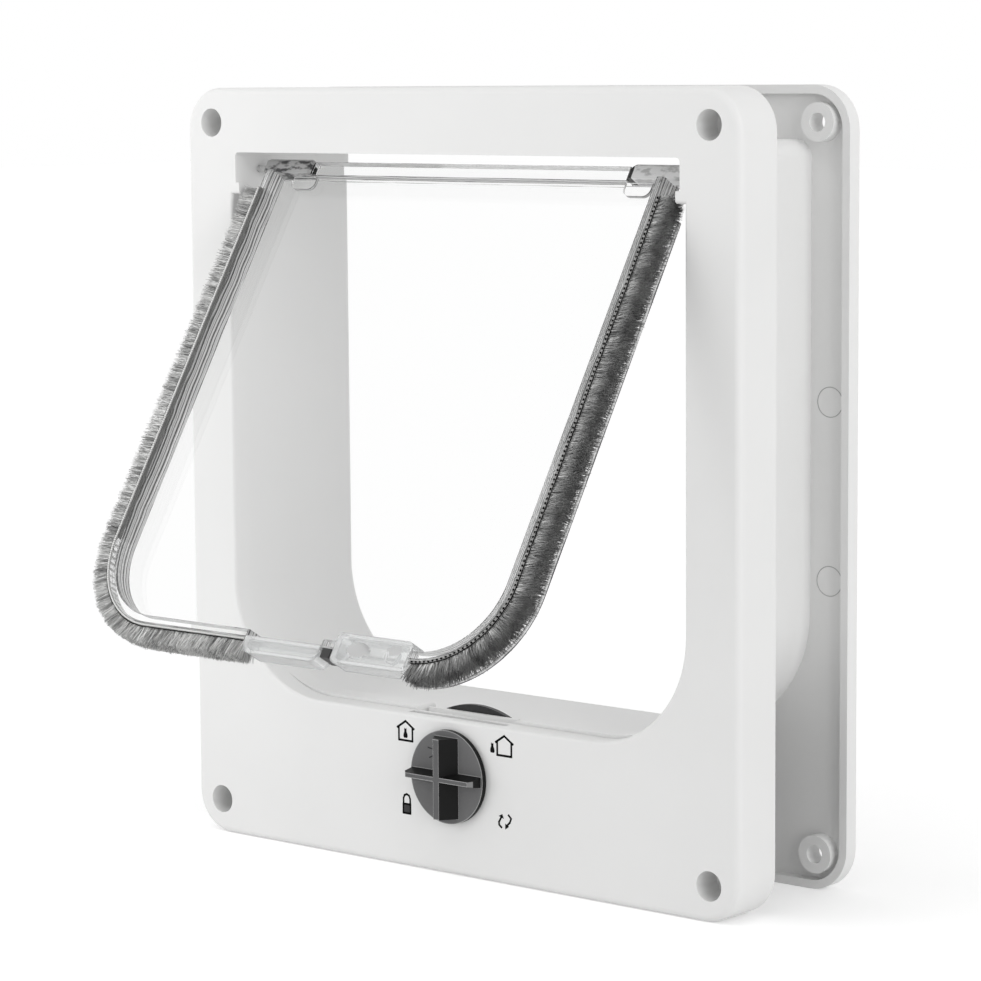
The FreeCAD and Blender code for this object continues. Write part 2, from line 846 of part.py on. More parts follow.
def band_loop(side, inner, outer, end_x):
    """A band that follows the flap's wall down one side to a place below it."""
    half_in = (wall_half + inner) * side
    half_out = (wall_half + outer) * side
    low_in = -(wall_low + inner)
    low_out = -(wall_low + outer)
    top = -size("strip_top")
    return [(half_in, top, 0.0), (half_in, low_in, size("wall_round") + inner),
            (end_x, low_in, 0.0), (end_x, low_out, 0.0),
            (half_out, low_out, size("wall_round") + outer), (half_out, top, 0.0)]


def make_strip(side, name, end_x):
    """One pile strip: a woven tape on the wall, with the pile standing on it."""
    tape = new_body("pile_tape_" + name)
    prism(tape, "tape", [band_loop(side, as_size(0.0), size("tape_wall"), end_x)],
          strip_front, strip_back)
    swing(tape)
    pile = new_body("pile_" + name)
    tip = size("tape_wall") + size("pile_height")
    prism(pile, "pile", [band_loop(side, size("tape_wall"), tip, end_x)],
          strip_front + size("strip_inset"), strip_back - size("strip_inset"))
    swing(pile)


def make_catch():
    """The clear catch in the middle of the lower edge, which the cam stops."""
    body = new_body("catch")
    radius = size("catch_round")
    low = -(wall_low + size("catch_drop"))
    high = -(wall_low - size("catch_rise"))
    left, right = catch_left, catch_right
    wall = size("catch_wall")
    prism(body, "block", [[(left, high, 0.0), (left, low, radius), (right, low, radius),
                           (right, high, 0.0)]], rim_plane, size("pane_front") - 0.1)
    inner_round = radius - wall
    recess(body, "hollow",
           [[(left + wall, high - wall, 0.0), (left + wall, low + wall, inner_round),
             (right - wall, low + wall, inner_round), (right - wall, high - wall, 0.0)]],
           rim_plane + wall, size("pane_front"))
    swing(body)


def make_magnet_box():
    """The clear box to the right of the catch, open towards the pane."""
    body = new_body("magnet_box")
    wall = size("catch_wall")
    left, right = box_left, box_right
    low, high = -(wall_low + size("box_drop")), -(wall_low - size("box_rise"))
    radius = size("box_round")
    prism(body, "box", [box_corners(left, right, low, high, radius)], rim_plane,
          size("pane_front") - 0.1)
    recess(body, "hollow", [box_corners(left + wall, right - wall, low + wall, high - wall,
                                        radius - wall / 2)],
           rim_plane + wall, size("pane_front"))
    middle = (low + high) / 2
    third = (right - left) / 4
    studs(body, "posts", [(left + third, middle), (right - third, middle)],
          size("boss_oval"), rim_plane + wall / 2, rim_plane + wall + size("boss_rise"))
    swing(body)


def make_flap_magnet():
    """The dark bar between the catch and the box, on the flap's lower edge."""
    body = new_body("flap_magnet")
    left = catch_right + size("bar_gap")
    high = -wall_low
    prism(body, "bar", [box_corners(left, left + size("bar_width"), high - size("bar_height"),
                                    high, 0.0)],
          strip_front, strip_back)
    swing(body)


def make_sill_magnet():
    """The bar magnet in the lip below the flap's magnet box."""
    magnet = doc.addObject("Part::Box", "sill_magnet")
    magnet.Label = "sill_magnet"
    bind(magnet, "Length", size("magnet_length"))
    bind(magnet, "Width", size("magnet_depth"))
    bind(magnet, "Height", size("magnet_height"))
    bind(magnet, "Placement.Base.x", magnet_left)
    bind(magnet, "Placement.Base.y", lip_back - size("magnet_depth"))
    bind(magnet, "Placement.Base.z", magnet_top - size("magnet_height"))


def make_pin(side, name):
    """A hinge pin, held in the flap's sleeve and turning in the panel's block."""
    pin = doc.addObject("Part::Cylinder", "hinge_pin_" + name)
    pin.Label = "hinge_pin_" + name
    start = sleeve_end - size("pin_hold")
    stop = block_half + size("pin_seat")
    bind(pin, "Radius", size("pin_width") / 2)
    bind(pin, "Height", stop - start)
    pin.Placement = FreeCAD.Placement(
        FreeCAD.Vector(start.value * side, hinge_y.value, hinge_z.value),
        FreeCAD.Rotation(FreeCAD.Vector(0, 1, 0), 90 * side))
    bind(pin, "Placement.Base.x", start * side)
    bind(pin, "Placement.Base.y", hinge_y)
    bind(pin, "Placement.Base.z", hinge_z)


def on_lock_axis(item):
    """Put a piece that was made on its own Y axis at the lock's place."""
    bind(item, "Placement.Base.y", front)
    bind(item, "Placement.Base.z", lock_z)


def make_knob():
    """The knob: a disc with a cross-shaped grip, a stem and a shaft with a flat."""
    body = new_body("lock_knob")
    proud = size("knob_proud")
    studs(body, "disc", [(0.0, 0.0)], size("knob_radius") * 2, -proud, -size("fit_gap"))
    add_rib(body, "grip", "XY_Plane", size("grip_half"), size("grip_base"), size("grip_nose"))
    bar = add_rib(body, "cross_bar", "YZ_Plane", size("bar_half"), size("bar_base"),
                  size("bar_nose"))
    chamfer(body, "bar_ends", bar, size("bar_end"), is_bar_end)
    shaft_end = size("rear_disc_depth") + size("cam_plate") - size("slot_gap")
    studs(body, "stem", [(0.0, 0.0)], size("stem_width"), -proud / 2, size("front_lobe_depth") - 0.2)
    studs(body, "shaft", [(0.0, 0.0)], size("shaft_width"), 0.0, shaft_end)
    half = size("shaft_width")
    recess(body, "shaft_flat", [box_corners(-half, half, size("shaft_flat"), half)],
           size("front_lobe_depth") - 0.2, shaft_end + 1.0)
    bores(body, "screw_bore", [(0.0, 0.0)], size("screw_width") + size("turn_play"),
          shaft_end - size("screw_grip") - size("fit_gap"), shaft_end + 1.0)
    on_lock_axis(body)


def add_rib(body, name, role, half, foot, nose):
    """One wedge of the grip, drawn in section and raised to both sides."""
    sketch = sketch_on(body, name + "_section", role, 0.0)
    foot_y = -size("knob_proud") + overlap
    nose_y = -size("knob_proud") - size("grip_proud")
    if role == "XY_Plane":
        corners = [(-foot, foot_y, 0.0), (foot, foot_y, 0.0), (nose, nose_y, 0.0),
                   (-nose, nose_y, 0.0)]
    else:
        corners = [(foot_y, foot, 0.0), (foot_y, -foot, 0.0), (nose_y, -nose, 0.0),
                   (nose_y, nose, 0.0)]
    outline(sketch, corners)
    feature = body.newObject("PartDesign::Pad", name)
    feature.Profile = sketch
    feature.Midplane = True
    bind(feature, "Length", half * 2)
    doc.recompute()
    return feature


def is_bar_end(edge):
    """True for the short front edges at the cross bar's two ends."""
    box = edge.BoundBox
    nose_y = -size("knob_proud") - size("grip_proud")
    at_end = abs(box.XMax - box.XMin) < 1e-4 and abs(box.XMax) > size("bar_half").value - 0.01
    return at_end and lies_at(edge, nose_y)


def turned(name, radius, height, start, angle=None, turn=0.0):
    """A round or a sector about Y, from a start depth, at an angle below +X."""
    item = doc.addObject("Part::Cylinder", name)
    bind(item, "Radius", radius)
    bind(item, "Height", height)
    if angle is not None:
        bind(item, "Angle", angle)
    item.Placement = FreeCAD.Placement(
        FreeCAD.Vector(0, as_size(start).value, 0),
        FreeCAD.Rotation(FreeCAD.Vector(1, 0, 0), -90)
        * FreeCAD.Rotation(FreeCAD.Vector(0, 0, 1), turn))
    bind(item, "Placement.Base.y", start)
    return item


def make_cam():
    """The cam: a hub with a disc behind the catch and two lobes set apart."""
    hub_start = size("front_lobe_depth") - 0.1
    rear = size("rear_disc_depth")
    plate = size("cam_plate")
    hub_end = rear + plate
    spread = size("lobe_angle")
    hub = turned("cam_hub", size("hub_width") / 2, hub_end - hub_start, hub_start)
    disc = turned("cam_disc", disc_radius, plate, rear)
    rear_start = REAR_LOBE_MIDDLE - spread.value / 2
    front_start = FRONT_LOBE_MIDDLE - spread.value / 2
    rear_lobe = turned("cam_rear_lobe", lobe_radius, plate, rear, spread, rear_start)
    front_lobe = turned("cam_front_lobe", lobe_radius, plate, hub_start, spread, front_start)
    whole = doc.addObject("Part::MultiFuse", "cam_whole")
    whole.Shapes = [hub, disc, rear_lobe, front_lobe, make_cap(rear, plate)]
    whole.Refine = True
    bore = turned("cam_bore_round", (size("shaft_width") + size("turn_play")) / 2,
                  hub_end - hub_start + 2.0, hub_start - 1.0)
    flat = doc.addObject("Part::Box", "cam_bore_flat")
    width = size("shaft_width") * 2
    bind(flat, "Length", width)
    bind(flat, "Width", hub_end - hub_start + 2.0)
    bind(flat, "Height", width)
    bind(flat, "Placement.Base.x", -width / 2)
    bind(flat, "Placement.Base.y", hub_start - 1.0)
    bind(flat, "Placement.Base.z", size("shaft_flat") + size("turn_play") / 2)
    shaft_bore = doc.addObject("Part::Cut", "cam_bore")
    shaft_bore.Base = bore
    shaft_bore.Tool = flat
    cam = doc.addObject("Part::Cut", "lock_cam")
    cam.Label = "lock_cam"
    cam.Base = whole
    cam.Tool = shaft_bore
    on_lock_axis(cam)


def make_cap(rear, plate):
    """The flatter crown of the disc that shows above the sill in the free position."""
    round_bar = turned("cam_cap_round", size("cap_round"), plate, rear)
    bind(round_bar, "Placement.Base.z",
         size("lock_depth") + size("cap_rise") - size("cap_round"))
    block = doc.addObject("Part::Box", "cam_cap_block")
    bind(block, "Length", size("cap_half") * 2)
    bind(block, "Width", plate)
    bind(block, "Height", size("lock_depth") * 2)
    bind(block, "Placement.Base.x", -size("cap_half"))
    bind(block, "Placement.Base.y", rear)
    cap = doc.addObject("Part::Common", "cam_cap")
    cap.Base = round_bar
    cap.Tool = block
    return cap


# The lobes' middles, in degrees below +X. The first lobe stops the flap on its
# way out and the second on its way in; both are down where the knob is drawn.
REAR_LOBE_MIDDLE = 135.0
FRONT_LOBE_MIDDLE = 45.0


def make_cam_fixings():
    """A washer and a screw that hold the cam on the knob's shaft."""
    seat = size("rear_disc_depth") + size("cam_plate")
    washer = new_body("cam_washer")
    sketch = upright_sketch(washer, "washer_outline", seat)
    circle_at(sketch, 0.0, 0.0, size("washer_width"))
    circle_at(sketch, 0.0, 0.0, size("screw_width") + size("turn_play") * 2)
    pad(washer, "washer", sketch, size("washer_wall"))
    on_lock_axis(washer)
    screw = new_body("cam_screw")
    head_start = seat + size("washer_wall")
    shaft_end = seat - size("slot_gap")
    studs(screw, "head", [(0.0, 0.0)], size("screw_head"), head_start,
          head_start + size("screw_head_height"))
    studs(screw, "shank", [(0.0, 0.0)], size("screw_width"), shaft_end - size("screw_grip"),
          head_start + 0.2)
    on_lock_axis(screw)


def check_document():
    """Stop if any object failed to build or any piece's shape isn't sound."""
    doc.recompute()
    for item in doc.Objects:
        if "Invalid" in item.State or "Error" in item.State:
            raise ValueError("%s is %s" % (item.Name, item.State))
    for label in NODES:
        shape = doc.getObjectsByLabel(label)[0].Shape
        if shape.isNull() or not shape.isValid():
            raise ValueError("bad shape: " + label)


NODES = [
    "front_panel", "rear_frame", "sill_magnet",
    "flap_pane", "sleeve_left", "sleeve_right", "hinge_pin_left", "hinge_pin_right",
    "pile_tape_left", "pile_tape_right", "pile_left", "pile_right",
    "catch", "magnet_box", "flap_magnet",
    "lock_knob", "lock_cam", "cam_washer", "cam_screw",
]

make_front_panel()
make_rear_frame()
make_sill_magnet()
make_flap_pane()
make_sleeve(-1, "left")
make_sleeve(1, "right")
make_pin(-1, "left")
make_pin(1, "right")
make_strip(-1, "left", catch_left - size("strip_gap"))
make_strip(1, "right", box_right + size("strip_gap"))
make_catch()
make_magnet_box()
make_flap_magnet()
make_knob()
make_cam()
make_cam_fixings()
check_document()

os.makedirs("parts", exist_ok=True)
for label in NODES:
    shape = doc.getObjectsByLabel(label)[0].Shape
    shape.exportStep("parts/%s.step" % label)
    box = shape.BoundBox
    print("%-16s solids %d volume %9.1f  x %7.2f %7.2f  y %7.2f %7.2f  z %7.2f %7.2f" % (
        label, len(shape.Solids), shape.Volume, box.XMin, box.XMax, box.YMin, box.YMax,
        box.ZMin, box.ZMax))
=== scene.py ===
import bpy
import bmesh
import json
import math
import random
from mathutils import Matrix, Vector


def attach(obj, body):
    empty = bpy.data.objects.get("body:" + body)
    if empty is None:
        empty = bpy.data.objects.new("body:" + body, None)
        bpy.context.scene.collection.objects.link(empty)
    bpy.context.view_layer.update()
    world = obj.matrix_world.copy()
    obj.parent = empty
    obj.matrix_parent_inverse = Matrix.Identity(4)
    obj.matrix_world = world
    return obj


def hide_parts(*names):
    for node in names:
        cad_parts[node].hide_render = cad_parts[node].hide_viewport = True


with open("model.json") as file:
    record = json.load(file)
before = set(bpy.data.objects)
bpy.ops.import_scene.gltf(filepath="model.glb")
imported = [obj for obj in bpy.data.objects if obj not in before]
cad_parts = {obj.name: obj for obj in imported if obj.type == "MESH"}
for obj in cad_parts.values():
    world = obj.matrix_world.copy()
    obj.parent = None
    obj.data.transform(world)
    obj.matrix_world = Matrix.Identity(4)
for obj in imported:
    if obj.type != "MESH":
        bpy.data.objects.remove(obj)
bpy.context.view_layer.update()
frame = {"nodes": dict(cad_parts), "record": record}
nodes = frame["nodes"]
mm = 0.001
print("frame loaded")

# the flap stands open on its hinge line, z runs up to the hinge in its own space

flapPlace = {"open": 31.75, "hingeY": -6.0, "hingeZ": 86.5}
flapOpen = math.radians(flapPlace["open"])
paneAxis = (0.0, math.cos(flapOpen), -math.sin(flapOpen))  # through the pane
tallAxis = (0.0, math.sin(flapOpen), math.cos(flapOpen))  # up the pane
flapTurn = (Matrix.Translation((0.0, flapPlace["hingeY"] * mm, flapPlace["hingeZ"] * mm))
            @ Matrix.Rotation(-flapOpen, 4, "X"))

# node tools

white = (1.0, 1.0, 1.0)
black = (0.0, 0.0, 0.0)


def setInputs(tree, node, values):  # an output is linked, a fixed value is set
    for key, value in values.items():
        socket = node.inputs[key]
        if isinstance(value, bpy.types.NodeSocket):
            tree.links.new(value, socket)
        elif socket.type == "RGBA":
            socket.default_value = (*value, 1.0)
        else:
            socket.default_value = value


def addNode(tree, kind, inputs=None, **options):
    node = tree.nodes.new("ShaderNode" + kind)
    for name, value in options.items():
        setattr(node, name, value)
    setInputs(tree, node, inputs or {})
    return node


def newMaterial(name):
    mat = bpy.data.materials.new(name)
    mat.use_nodes = True
    tree = mat.node_tree
    return mat, tree, tree.nodes["Principled BSDF"]


def objectCoords(tree):
    return addNode(tree, "TexCoord").outputs["Object"]


def mathNode(tree, operation, *values):
    return addNode(tree, "Math", dict(enumerate(values)), operation=operation).outputs[0]


def vectorNode(tree, operation, *values):
    node = addNode(tree, "VectorMath", dict(enumerate(values)), operation=operation)
    return node.outputs["Value" if operation in ("DOT_PRODUCT", "LENGTH") else "Vector"]


def alongAxis(tree, vector, axis):
    return vectorNode(tree, "DOT_PRODUCT", vector, axis)


def addNoise(tree, vector, scale, detail=3.0):
    inputs = {"Vector": vector, "Scale": scale, "Detail": detail}
    return addNode(tree, "TexNoise", inputs).outputs["Fac"]


def addRange(tree, value, low=0.0, high=1.0, start=0.0, stop=1.0):
    inputs = {"Value": value, "From Min": start, "From Max": stop, "To Min": low, "To Max": high}
    return addNode(tree, "MapRange", inputs).outputs["Result"]


def addRamp(tree, factor, stops):
    ramp = addNode(tree, "ValToRGB", {"Fac": factor})
    marks = ramp.color_ramp.elements
    for mark, (place, color) in zip(marks, stops):
        mark.position = place
        mark.color = (*color, 1.0)
    for place, color in stops[2:]:
        marks.new(place).color = (*color, 1.0)
    return ramp.outputs["Color"]


def addBump(tree, shader, height, strength, distance=0.2):
    inputs = {"Height": height, "Strength": strength, "Distance": distance * mm}
    setInputs(tree, shader, {"Normal": addNode(tree, "Bump", inputs).outputs["Normal"]})


def mixColor(tree, factor, first, second, blend="MIX"):
    inputs = {"Fac": factor, "Color1": first, "Color2": second}
    return addNode(tree, "MixRGB", inputs, blend_type=blend).outputs["Color"]


def mixShader(tree, factor, first, second):
    return addNode(tree, "MixShader", {0: factor, 1: first, 2: second}).outputs[0]


# plain mouldings, ink and metal

mouldGrain = {"broad": 22.0, "fine": 1800.0, "detail": 2.0, "bump": 0.03,
              "smoother": 0.05, "rougher": 0.07, "ior": 1.49}


def tinted(color, factor):
    return tuple(min(1.0, part * factor) for part in color)


def plasticMaterial(name, look):
    mat, tree, shader = newMaterial(name)
    vector = objectCoords(tree)
    broad = addNoise(tree, vector, mouldGrain["broad"], mouldGrain["detail"])
    fine = addNoise(tree, vector, look.get("grain", mouldGrain["fine"]), mouldGrain["detail"])
    color = addRamp(tree, broad, [(0.3, tinted(look["color"], 1.0 - look["spread"])),
                                  (0.7, tinted(look["color"], 1.0 + look["spread"]))])
    rough = addRange(tree, fine, look["rough"] - mouldGrain["smoother"],
                     look["rough"] + mouldGrain["rougher"])
    setInputs(tree, shader, {"Base Color": color, "Roughness": rough, "IOR": mouldGrain["ior"],
                             "Metallic": look.get("metal", 0.0),
                             "Specular IOR Level": look.get("specular", 0.5)})
    addBump(tree, shader, fine, look.get("bump", mouldGrain["bump"]))
    return mat


shellLook = {"color": (0.80, 0.80, 0.795), "spread": 0.012, "rough": 0.38, "grain": 1400.0,
             "bump": 0.012}
camLook = {"color": (0.018, 0.018, 0.019), "spread": 0.06, "rough": 0.45}
magnetLook = {"color": (0.03, 0.03, 0.03), "spread": 0.2, "rough": 0.55}
edgeLook = {"color": (0.78, 0.78, 0.77), "spread": 0.05, "rough": 0.6, "grain": 900.0, "bump": 0.3}
inkLook = {"color": (0.004, 0.004, 0.004), "spread": 0.1, "rough": 0.7, "specular": 0.1}
steelLook = {"color": (0.72, 0.72, 0.72), "spread": 0.05, "rough": 0.24, "metal": 0.85}
# grey of the ejector rings: painted shade
shadeLook = {"color": (0.42, 0.42, 0.42), "spread": 0.05, "rough": 0.5}

shellMat = plasticMaterial("whiteShell", shellLook)
camMat = plasticMaterial("darkCam", camLook)
magnetMat = plasticMaterial("bondedMagnet", magnetLook)
edgeMat = plasticMaterial("tapeEdge", edgeLook)
inkMat = plasticMaterial("blackInk", inkLook)
steelMat = plasticMaterial("brightWire", steelLook)
shadeMat = plasticMaterial("ejectorRingShade", shadeLook)

# painted highlight lines on the knob's edges, and painted reflection lines on the acrylic's edges

edgeFinish = {"samples": 8, "turned": 0.86, "flat": 0.985}


def edgeLine(tree, width):  # white where a face turns into the next one
    rounded = addNode(tree, "Bevel", {"Radius": width * mm}, samples=edgeFinish["samples"])
    normal = addNode(tree, "NewGeometry").outputs["Normal"]
    match = vectorNode(tree, "DOT_PRODUCT", rounded.outputs["Normal"], normal)
    return addRamp(tree, match, [(edgeFinish["turned"], white), (edgeFinish["flat"], black)])


# clear and frosted mouldings of the flap

# on the acrylic, dark and light are painted reflection streaks, and the edge tone is painted shade
# towards grazing angles
clearLook = {"face": (0.99, 0.992, 0.991), "edge": (0.45, 0.46, 0.46), "ior": 1.46, "rough": 0.015,
             "dark": (0.030, 0.031, 0.031), "light": (0.80, 0.80, 0.80), "reflectionAndMarkShare": 0.66,
             "streak": 1500.0, "through": 1.0, "shade": 0.99, "across": 0.62, "along": 0.93}
frostLook = {"face": (0.85, 0.86, 0.86), "edge": (0.20, 0.20, 0.20), "ior": 1.42, "rough": 0.16,
             "dark": (0.20, 0.20, 0.20), "light": (0.50, 0.50, 0.50), "reflectionAndMarkShare": 0.75,
             "streak": 900.0, "through": 0.80, "shade": 0.93, "line": 0.45}
castLook = {"wave": 30.0, "waveBump": 0.04, "waveDepth": 0.3, "faceTo": 0.45, "edgeFrom": 0.97,
            "smoother": 0.6, "rougher": 1.4, "drift": 60.0, "driftBy": 2.2, "detail": 2.0,
            "darkTo": 0.38, "lightFrom": 0.60, "wallRough": 0.35, "wallShine": 0.25}
boxMarks = {"clouds": [(30.0, -74.0, 4.4, 2.1), (42.2, -73.1, 2.7, 1.5)], "front": -54.9,
            "noise": 700.0, "ragged": 1.3, "reach": 1.6}


# the walls across the pane get painted reflection streaks
def wallMask(tree):  # faces that stand across the pane
    normal = addNode(tree, "TexCoord").outputs["Normal"]
    facing = mathNode(tree, "ABSOLUTE", alongAxis(tree, normal, paneAxis))
    return addRamp(tree, facing, [(clearLook["across"], white), (clearLook["along"], black)])


# the edges of the frosted pieces get painted reflection lines
def edgeMask(tree):
    return edgeLine(tree, frostLook["line"])


# the edges get painted reflection lines, the two ovals are cloudy marks
def boxMask(tree):  # the edges, and two cloudy ovals on the front wall
    vector = objectCoords(tree)
    plane = addNode(tree, "CombineXYZ", {0: alongAxis(tree, vector, (1.0, 0.0, 0.0)),
                                         1: alongAxis(tree, vector, tallAxis)}).outputs[0]
    front = mathNode(tree, "LESS_THAN", alongAxis(tree, vector, paneAxis), boxMarks["front"] * mm)
    ragged = mathNode(tree, "MULTIPLY", addNoise(tree, vector, boxMarks["noise"]),
                      boxMarks["ragged"])
    most = edgeMask(tree)
    for x, tall, wide, high in boxMarks["clouds"]:
        away = vectorNode(tree, "SUBTRACT", plane, (x * mm, tall * mm, 0.0))
        size = vectorNode(tree, "MULTIPLY", away, (1.0 / (wide * mm), 1.0 / (high * mm), 0.0))
        span = mathNode(tree, "ADD", vectorNode(tree, "LENGTH", size), ragged)
        inside = mathNode(tree, "LESS_THAN", span, boxMarks["reach"])
        most = mathNode(tree, "MAXIMUM", most, mathNode(tree, "MULTIPLY", inside, front))
    return most


def glassMaterial(name, look, mask):
    mat, tree, shader = newMaterial(name)
    vector = objectCoords(tree)
    wave = addNoise(tree, vector, castLook["wave"], 1.0)
    # the base colour darkens towards grazing angles: painted shade on the acrylic's silhouettes
    facing = addNode(tree, "LayerWeight", {"Blend": 0.5}).outputs["Facing"]
    grazingShade = addRamp(tree, facing, [(castLook["faceTo"], look["face"]),
                                  (castLook["edgeFrom"], look["edge"])])
    rough = addRange(tree, wave, look["rough"] * castLook["smoother"],
                     look["rough"] * castLook["rougher"])
    setInputs(tree, shader, {"Base Color": grazingShade, "Roughness": rough, "IOR": look["ior"],
                             "Transmission Weight": look["through"]})
    addBump(tree, shader, wave, castLook["waveBump"], castLook["waveDepth"])
    # painted reflection streaks: grey lines that run along the moulded walls
    drift = mathNode(tree, "MULTIPLY", addNoise(tree, vector, castLook["drift"], castLook["detail"]),
                     castLook["driftBy"] * mm)
    place = mathNode(tree, "ADD", alongAxis(tree, vector, paneAxis), drift)
    streak = addNode(tree, "TexNoise", {"W": place, "Scale": look["streak"],
                                        "Detail": castLook["detail"]}, noise_dimensions="1D")
    grey = addRamp(tree, streak.outputs["Fac"], [(castLook["darkTo"], look["dark"]),
                                                 (castLook["lightFrom"], look["light"])])
    wall = addNode(tree, "BsdfPrincipled", {"Base Color": grey, "Roughness": castLook["wallRough"],
                                            "Specular IOR Level": castLook["wallShine"]})
    walls = mixShader(tree, mathNode(tree, "MULTIPLY", mask(tree), look["reflectionAndMarkShare"]),
                      shader.outputs[0], wall.outputs[0])
    # light on its way to other pieces passes straight through
    clear = addNode(tree, "BsdfTransparent", {"Color": tinted(white, look["shade"])})
    rays = addNode(tree, "LightPath").outputs
    passing = mathNode(tree, "MAXIMUM", rays["Is Shadow Ray"], rays["Is Diffuse Ray"])
    surface = mixShader(tree, passing, walls, clear.outputs[0])
    tree.links.new(surface, tree.nodes["Material Output"].inputs["Surface"])
    return mat


clearMat = glassMaterial("clearAcrylic", clearLook, wallMask)
frostMat = glassMaterial("frostedAcrylic", frostLook, edgeMask)
boxMat = glassMaterial("magnetBoxAcrylic", frostLook, boxMask)

# lock knob, its rib flanks painted in shade and its edges painted with highlights

knobLook = {"front": (0.170, 0.170, 0.172), "rib": (0.13, 0.13, 0.132), "paintedFlankShade": (0.010, 0.010, 0.010),
            "edge": (0.60, 0.60, 0.60), "rough": 0.36, "shine": 0.12, "grain": 2600.0, "worn": 0.18,
            "bump": 0.05, "line": 0.55, "discFront": 18.5, "ribFoot": 22.5,
            "paintedFlankShadeTo": 0.66, "edgeFrom": 0.78, "frontFrom": 0.93, "frontTo": 0.985}


def knobMaterial():
    mat, tree, shader = newMaterial("darkKnob")
    coords = addNode(tree, "TexCoord").outputs
    toFront = (0.0, -1.0, 0.0)
    facing = alongAxis(tree, coords["Normal"], toFront)
    proud = addRange(tree, alongAxis(tree, coords["Object"], toFront),
                     start=knobLook["discFront"] * mm, stop=knobLook["ribFoot"] * mm)
    flat = addRamp(tree, proud, [(0.0, knobLook["front"]), (1.0, knobLook["rib"])])
    # painted highlight lines where one face turns into the next
    highlightLined = mixColor(tree, edgeLine(tree, knobLook["line"]), flat, knobLook["edge"])
    # painted shade on the flanks, painted highlight on the rounded edges
    edges = addRamp(tree, facing, [(0.0, knobLook["paintedFlankShade"]), (knobLook["paintedFlankShadeTo"], knobLook["paintedFlankShade"]),
                                   (knobLook["edgeFrom"], knobLook["edge"])])
    front = addRange(tree, facing, start=knobLook["frontFrom"], stop=knobLook["frontTo"])
    color = mixColor(tree, front, edges, highlightLined)
    grain = addNoise(tree, coords["Object"], knobLook["grain"], 2.0)
    worn = mixColor(tree, knobLook["worn"], color, grain, "MULTIPLY")
    setInputs(tree, shader, {"Base Color": worn, "Roughness": knobLook["rough"],
                             "Specular IOR Level": knobLook["shine"]})
    addBump(tree, shader, grain, knobLook["bump"])
    return mat


knobMat = knobMaterial()

# hinge sleeves, the left one painted darker as in shade and the right one lighter as lit, each with a
# painted shade ring at its inner end

shadedSleeveLook = {"light": (0.42, 0.42, 0.42), "dark": (0.050, 0.050, 0.052), "endShadeTo": 57.6}
litSleeveLook = {"light": (0.74, 0.74, 0.74), "dark": (0.46, 0.46, 0.46), "endShadeTo": 59.4}
sleeveFinish = {"stretch": (1.0, 2.2, 2.2), "patch": 260.0, "darkTo": 0.40, "lightFrom": 0.52,
                "endShade": (0.01, 0.01, 0.01), "rough": 0.30, "bump": 0.25, "depth": 0.3}


def sleeveMaterial(name, look):
    mat, tree, shader = newMaterial(name)
    vector = objectCoords(tree)
    along = addNode(tree, "Mapping", {"Vector": vector, "Scale": sleeveFinish["stretch"]})
    patches = addNoise(tree, along.outputs["Vector"], sleeveFinish["patch"])
    color = addRamp(tree, patches, [(sleeveFinish["darkTo"], look["dark"]),
                                    (sleeveFinish["lightFrom"], look["light"])])
    across = mathNode(tree, "ABSOLUTE", alongAxis(tree, vector, (1.0, 0.0, 0.0)))
    # painted shade on the inner end of the sleeve
    endShade = mathNode(tree, "LESS_THAN", across, look["endShadeTo"] * mm)
    color = mixColor(tree, endShade, color, sleeveFinish["endShade"])
    setInputs(tree, shader, {"Base Color": color, "Roughness": sleeveFinish["rough"]})
    addBump(tree, shader, patches, sleeveFinish["bump"], sleeveFinish["depth"])
    return mat


shadedSleeveMat = sleeveMaterial("shadedHingeSleeve", shadedSleeveLook)
litSleeveMat = sleeveMaterial("litHingeSleeve", litSleeveLook)

# woven tape

tapeLook = {"dark": (0.27, 0.27, 0.27), "light": (0.42, 0.42, 0.41), "darkTo": 0.15,
            "lightFrom": 0.75, "pitch": 0.55, "uneven": 1.2, "rough": 0.7, "bump": 0.5, "depth": 0.4}


def wovenMaterial():
    mat, tree, shader = newMaterial("wovenTape")
    waveScale = math.tau / 20.0 / (tapeLook["pitch"] * mm)  # the wave repeats 20 / tau times a unit
    ribs = addNode(tree, "TexWave", {"Vector": objectCoords(tree), "Scale": waveScale,
                                     "Distortion": tapeLook["uneven"], "Detail": 2.0},
                   bands_direction="Z").outputs["Fac"]
    color = addRamp(tree, ribs, [(tapeLook["darkTo"], tapeLook["dark"]),
                                 (tapeLook["lightFrom"], tapeLook["light"])])
    setInputs(tree, shader, {"Base Color": color, "Roughness": tapeLook["rough"]})
    addBump(tree, shader, ribs, tapeLook["bump"], tapeLook["depth"])
    return mat


tapeMat = wovenMaterial()

# pile, each fibre with a tone of its own

pileLook = {"dark": (0.030, 0.030, 0.031), "light": (0.92, 0.92, 0.91), "darkTo": 0.12,
            "lightFrom": 0.95, "own": 0.75, "patchy": 0.35, "patch": 420.0, "rough": 0.6,
            "sheen": 0.25}


def pileMaterial():
    mat, tree, shader = newMaterial("greyPile")
    tone = addNode(tree, "Attribute", attribute_name="tone").outputs["Fac"]
    patches = addNoise(tree, objectCoords(tree), pileLook["patch"])
    patchy = mathNode(tree, "MULTIPLY", patches, pileLook["patchy"])
    shade = mathNode(tree, "MULTIPLY_ADD", tone, pileLook["own"], patchy)
    color = addRamp(tree, shade, [(pileLook["darkTo"], pileLook["dark"]),
                                  (pileLook["lightFrom"], pileLook["light"])])
    setInputs(tree, shader, {"Base Color": color, "Roughness": pileLook["rough"],
                             "Sheen Weight": pileLook["sheen"]})
    return mat


pileMat = pileMaterial()

# every CAD node gets its slot's material, and some one of their own

